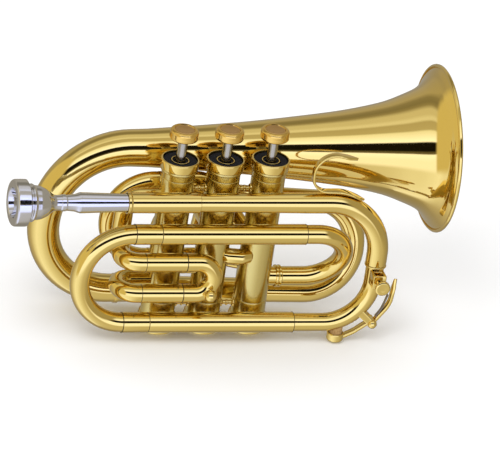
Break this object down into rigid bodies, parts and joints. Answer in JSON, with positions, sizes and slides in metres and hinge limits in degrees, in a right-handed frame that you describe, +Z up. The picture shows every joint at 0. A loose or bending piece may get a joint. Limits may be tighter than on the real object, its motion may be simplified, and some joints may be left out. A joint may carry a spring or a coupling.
{
  "type": "pocket trumpet",
  "caption": "Pocket trumpet in lacquered brass with tightly wrapped tubing, piston valves, tuning slide, water key and silver mouthpiece",
  "frame": {"origin": "centre of the flat underside of the second valve bottom cap", "axes": "+X towards the bell, +Y away from the viewer of the picture, +Z up along the valves"},
  "size_m": [0.265, 0.1139, 0.149],
  "materials": {
    "lacquered_brass": "polished and lacquered",
    "silver_plate": "polished silver plate",
    "stainless_steel": "fine turned",
    "bronze": "satin",
    "black_felt": "matt felt",
    "cork": "matt cork",
    "spring_steel": "drawn wire",
    "nickel_plate": "lapped plating"
  },
  "bodies": {
    "horn": {"mouthpiece_receiver": "lacquered_brass", "leadpipe": "lacquered_brass", "lower_lead_bow": "lacquered_brass", "tuning_sleeve_upper": "lacquered_brass", "tuning_sleeve_lower": "lacquered_brass", "entry_bow": "lacquered_brass", "crossover_two_three": "lacquered_brass", "crossover_one_two": "lacquered_brass", "first_sleeve_lower": "lacquered_brass", "first_sleeve_upper": "lacquered_brass", "second_sleeve_upper": "lacquered_brass", "second_sleeve_lower": "lacquered_brass", "third_sleeve_upper": "lacquered_brass", "third_sleeve_lower": "lacquered_brass", "bell": "lacquered_brass", "bell_bow": "lacquered_brass", "bell_tail": "lacquered_brass", "finger_hook": "lacquered_brass", "lyre_holder": "lacquered_brass", "lyre_screw": "lacquered_brass", "water_key_saddle": "lacquered_brass", "water_key_pin": "lacquered_brass", "bell_brace_1": "lacquered_brass", "bell_brace_3": "lacquered_brass", "valve_casing_1": "lacquered_brass", "top_cap_1": "lacquered_brass", "bottom_cap_1": "lacquered_brass", "cap_felt_1": "black_felt", "valve_spring_1": "spring_steel", "valve_casing_2": "lacquered_brass", "top_cap_2": "lacquered_brass", "bottom_cap_2": "lacquered_brass", "cap_felt_2": "black_felt", "valve_spring_2": "spring_steel", "valve_casing_3": "lacquered_brass", "top_cap_3": "lacquered_brass", "bottom_cap_3": "lacquered_brass", "cap_felt_3": "black_felt", "valve_spring_3": "spring_steel"},
    "mouthpiece": {"mouthpiece": "silver_plate"},
    "tuning_slide": {"tuning_crook": "lacquered_brass", "tuning_leg_upper": "lacquered_brass", "tuning_leg_lower": "lacquered_brass"},
    "first_valve_slide": {"first_slide": "lacquered_brass", "first_slide_knob": "lacquered_brass"},
    "second_valve_slide": {"second_slide": "lacquered_brass"},
    "third_valve_slide": {"third_slide": "lacquered_brass"},
    "water_key": {"water_key_lever": "lacquered_brass", "water_key_cork": "cork", "water_key_spring": "spring_steel"},
    "valve_1": {"piston_1": "nickel_plate", "stem_1": "stainless_steel", "finger_button_1": "bronze"},
    "valve_2": {"piston_2": "nickel_plate", "stem_2": "stainless_steel", "finger_button_2": "bronze"},
    "valve_3": {"piston_3": "nickel_plate", "stem_3": "stainless_steel", "finger_button_3": "bronze"}
  },
  "joints": [
    {"name": "mouthpiece_pull", "type": "slide", "parent": "horn", "child": "mouthpiece", "axis": [-1, 0, 0], "range_m": [0, 0.02]},
    {"name": "tuning_slide_pull", "type": "slide", "parent": "horn", "child": "tuning_slide", "axis": [-1, 0, 0], "range_m": [0, 0.045]},
    {"name": "first_slide_pull", "type": "slide", "parent": "horn", "child": "first_valve_slide", "axis": [1, 0, 0], "range_m": [0, 0.016]},
    {"name": "second_slide_pull", "type": "slide", "parent": "horn", "child": "second_valve_slide", "axis": [0, 1, 0], "range_m": [0, 0.01]},
    {"name": "third_slide_pull", "type": "slide", "parent": "horn", "child": "third_valve_slide", "axis": [-1, 0, 0], "range_m": [0, 0.016]},
    {"name": "valve_1_press", "type": "slide", "parent": "horn", "child": "valve_1", "axis": [0, 0, -1], "range_m": [0, 0.013], "stiffness_N_per_m": 200, "springref_m": -0.02, "deforming": ["valve_spring_1"]},
    {"name": "valve_2_press", "type": "slide", "parent": "horn", "child": "valve_2", "axis": [0, 0, -1], "range_m": [0, 0.013], "stiffness_N_per_m": 200, "springref_m": -0.02, "deforming": ["valve_spring_2"]},
    {"name": "valve_3_press", "type": "slide", "parent": "horn", "child": "valve_3", "axis": [0, 0, -1], "range_m": [0, 0.013], "stiffness_N_per_m": 200, "springref_m": -0.02, "deforming": ["valve_spring_3"]},
    {"name": "water_key_press", "type": "hinge", "parent": "horn", "child": "water_key", "pos_m": [0.0954, -0.017, 0.0131], "axis": [0, -1, 0], "range_deg": [0, 13], "stiffness_Nm_per_rad": 0.05, "springref_deg": -34.38}
  ]
}
